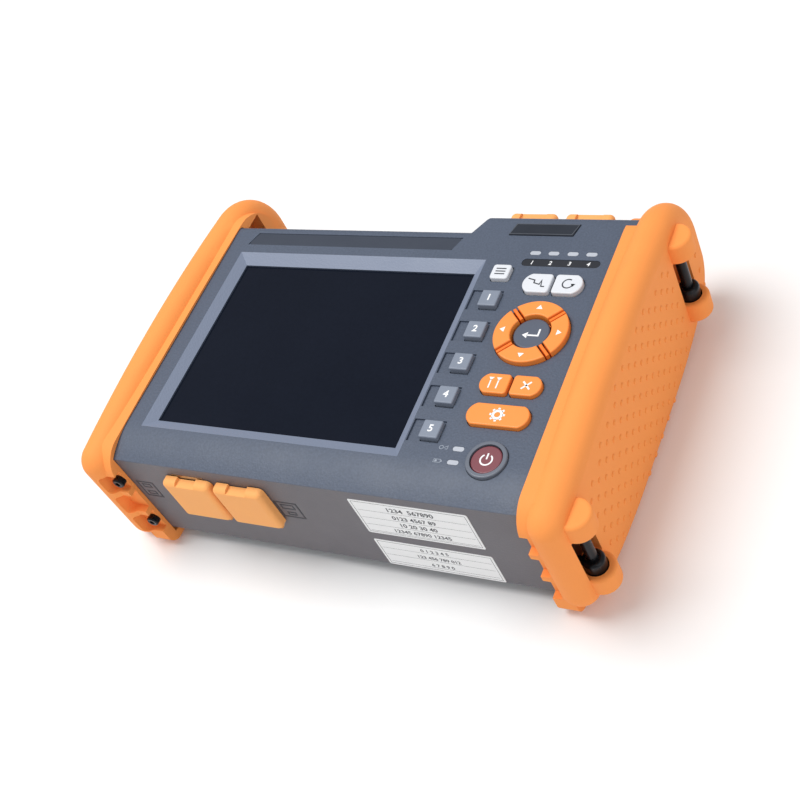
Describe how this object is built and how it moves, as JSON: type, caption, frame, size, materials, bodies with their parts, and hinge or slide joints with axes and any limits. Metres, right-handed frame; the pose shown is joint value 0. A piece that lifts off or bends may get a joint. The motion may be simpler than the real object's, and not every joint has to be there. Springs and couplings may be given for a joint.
{
  "type": "optical time domain reflectometer",
  "caption": "Hand-held fibre tester: slate casing with a screen and a key panel, orange end bumpers with strap lugs, hinged port covers and a fold-out tilt stand.",
  "frame": {"origin": "on the resting surface, under the middle of the box; the instrument lies on its back", "axes": "+X across the panel towards the keys, +Y up the panel towards the optical ports, +Z out of the panel"},
  "size_m": [0.2372, 0.168, 0.0697],
  "materials": {
    "shell_plastic": "moulded ABS with a fine satin texture",
    "bumper_rubber": "moulded soft rubber, finely matted",
    "black_steel": "black oxide on turned steel",
    "screen_window": "clear hard-coated window over a dark display",
    "display_module": "liquid crystal panel",
    "sheet_steel": "stamped sheet",
    "key_silicone_orange": "moulded silicone",
    "circuit_board": "solder mask",
    "ring_plastic": "moulded, satin",
    "lamp_lens": "translucent light pipe",
    "dark_inlay": "printed film",
    "title_inlay": "printed film",
    "badge_metal": "anodised plate with a cut rim",
    "engine_case": "die cast",
    "fibre_jacket": "coiled coated fibre",
    "battery_wrap": "heat-shrunk film",
    "socket_metal": "stamped shell",
    "socket_plastic": "moulded nylon",
    "adapter_metal": "nickel plate",
    "cover_rubber": "moulded soft rubber",
    "pin_steel": "ground",
    "key_white": "moulded silicone with a satin coat",
    "power_plastic": "moulded",
    "key_grey": "moulded silicone with a satin coat",
    "key_orange": "moulded silicone with a satin coat"
  },
  "bodies": {
    "casing": {"front_shell": "shell_plastic", "rear_shell": "shell_plastic", "left_bumper": "bumper_rubber", "right_bumper": "bumper_rubber", "strap_pins": "black_steel", "screen_glass": "screen_window", "display_panel": "display_module", "display_frame": "sheet_steel", "key_mat": "key_silicone_orange", "key_board": "circuit_board", "power_ring": "ring_plastic", "status_lamps": "lamp_lens", "lamp_strip": "dark_inlay", "title_strip": "title_inlay", "badge_plate": "badge_metal", "main_board": "circuit_board", "optical_engine": "engine_case", "fibre_coil": "fibre_jacket", "battery_pack": "battery_wrap", "battery_cover": "shell_plastic", "network_socket": "socket_metal", "power_socket": "socket_plastic", "data_socket": "socket_metal", "small_data_socket": "socket_metal", "test_adapter": "adapter_metal", "fault_light_adapter": "adapter_metal", "power_meter_adapter": "adapter_metal", "cover_tongues": "cover_rubber", "bumper_screws": "black_steel", "back_screws": "black_steel", "shell_screws": "black_steel", "stand_pins": "pin_steel"},
    "key_menu": {"key_menu": "key_white"},
    "key_f1": {"key_f1": "key_grey"},
    "key_f2": {"key_f2": "key_grey"},
    "key_f3": {"key_f3": "key_grey"},
    "key_f4": {"key_f4": "key_grey"},
    "key_f5": {"key_f5": "key_grey"},
    "key_trace": {"key_trace": "key_white"},
    "key_auto": {"key_auto": "key_white"},
    "key_marker": {"key_marker": "key_orange"},
    "key_escape": {"key_escape": "key_orange"},
    "key_setup": {"key_setup": "key_orange"},
    "key_enter": {"key_enter": "key_grey"},
    "key_up": {"key_up": "key_orange"},
    "key_left": {"key_left": "key_orange"},
    "key_down": {"key_down": "key_orange"},
    "key_right": {"key_right": "key_orange"},
    "power_button": {"power_button": "power_plastic"},
    "network_cover": {"network_cover": "cover_rubber"},
    "data_cover": {"data_cover": "cover_rubber"},
    "test_port_cover": {"test_port_cover": "cover_rubber"},
    "meter_port_cover": {"meter_port_cover": "cover_rubber"},
    "tilt_stand": {"tilt_stand": "shell_plastic"}
  },
  "joints": [
    {"name": "key_menu_press", "type": "slide", "parent": "casing", "child": "key_menu", "axis": [0, 0, -1], "range_m": [0, 0.0012], "stiffness_N_per_m": 400},
    {"name": "key_f1_press", "type": "slide", "parent": "casing", "child": "key_f1", "axis": [0, 0, -1], "range_m": [0, 0.0012], "stiffness_N_per_m": 400},
    {"name": "key_f2_press", "type": "slide", "parent": "casing", "child": "key_f2", "axis": [0, 0, -1], "range_m": [0, 0.0012], "stiffness_N_per_m": 400},
    {"name": "key_f3_press", "type": "slide", "parent": "casing", "child": "key_f3", "axis": [0, 0, -1], "range_m": [0, 0.0012], "stiffness_N_per_m": 400},
    {"name": "key_f4_press", "type": "slide", "parent": "casing", "child": "key_f4", "axis": [0, 0, -1], "range_m": [0, 0.0012], "stiffness_N_per_m": 400},
    {"name": "key_f5_press", "type": "slide", "parent": "casing", "child": "key_f5", "axis": [0, 0, -1], "range_m": [0, 0.0012], "stiffness_N_per_m": 400},
    {"name": "key_trace_press", "type": "slide", "parent": "casing", "child": "key_trace", "axis": [0, 0, -1], "range_m": [0, 0.0012], "stiffness_N_per_m": 400},
    {"name": "key_auto_press", "type": "slide", "parent": "casing", "child": "key_auto", "axis": [0, 0, -1], "range_m": [0, 0.0012], "stiffness_N_per_m": 400},
    {"name": "key_marker_press", "type": "slide", "parent": "casing", "child": "key_marker", "axis": [0, 0, -1], "range_m": [0, 0.0012], "stiffness_N_per_m": 400},
    {"name": "key_escape_press", "type": "slide", "parent": "casing", "child": "key_escape", "axis": [0, 0, -1], "range_m": [0, 0.0012], "stiffness_N_per_m": 400},
    {"name": "key_setup_press", "type": "slide", "parent": "casing", "child": "key_setup", "axis": [0, 0, -1], "range_m": [0, 0.0012], "stiffness_N_per_m": 400},
    {"name": "key_enter_press", "type": "slide", "parent": "casing", "child": "key_enter", "axis": [0, 0, -1], "range_m": [0, 0.0012], "stiffness_N_per_m": 400},
    {"name": "key_up_press", "type": "slide", "parent": "casing", "child": "key_up", "axis": [0, 0, -1], "range_m": [0, 0.0012], "stiffness_N_per_m": 400},
    {"name": "key_left_press", "type": "slide", "parent": "casing", "child": "key_left", "axis": [0, 0, -1], "range_m": [0, 0.0012], "stiffness_N_per_m": 400},
    {"name": "key_down_press", "type": "slide", "parent": "casing", "child": "key_down", "axis": [0, 0, -1], "range_m": [0, 0.0012], "stiffness_N_per_m": 400},
    {"name": "key_right_press", "type": "slide", "parent": "casing", "child": "key_right", "axis": [0, 0, -1], "range_m": [0, 0.0012], "stiffness_N_per_m": 400},
    {"name": "power_button_press", "type": "slide", "parent": "casing", "child": "power_button", "axis": [0, 0, -1], "range_m": [0, 0.0012], "stiffness_N_per_m": 400},
    {"name": "network_cover_hinge", "type": "hinge", "parent": "casing", "child": "network_cover", "pos_m": [-0.058, -0.0781, 0.0297], "axis": [1, 0, 0], "range_deg": [0, 95]},
    {"name": "data_cover_hinge", "type": "hinge", "parent": "casing", "child": "data_cover", "pos_m": [-0.032, -0.0781, 0.0297], "axis": [1, 0, 0], "range_deg": [0, 95]},
    {"name": "test_port_cover_hinge", "type": "hinge", "parent": "casing", "child": "test_port_cover", "pos_m": [0.0453, 0.0642, 0.0297], "axis": [-1, 0, 0], "range_deg": [0, 95]},
    {"name": "meter_port_cover_hinge", "type": "hinge", "parent": "casing", "child": "meter_port_cover", "pos_m": [0.0707, 0.0642, 0.0297], "axis": [-1, 0, 0], "range_deg": [0, 95]},
    {"name": "tilt_stand_hinge", "type": "hinge", "parent": "casing", "child": "tilt_stand", "pos_m": [0, 0.04, 0.0088], "axis": [1, 0, 0], "range_deg": [0, 70]}
  ]
}
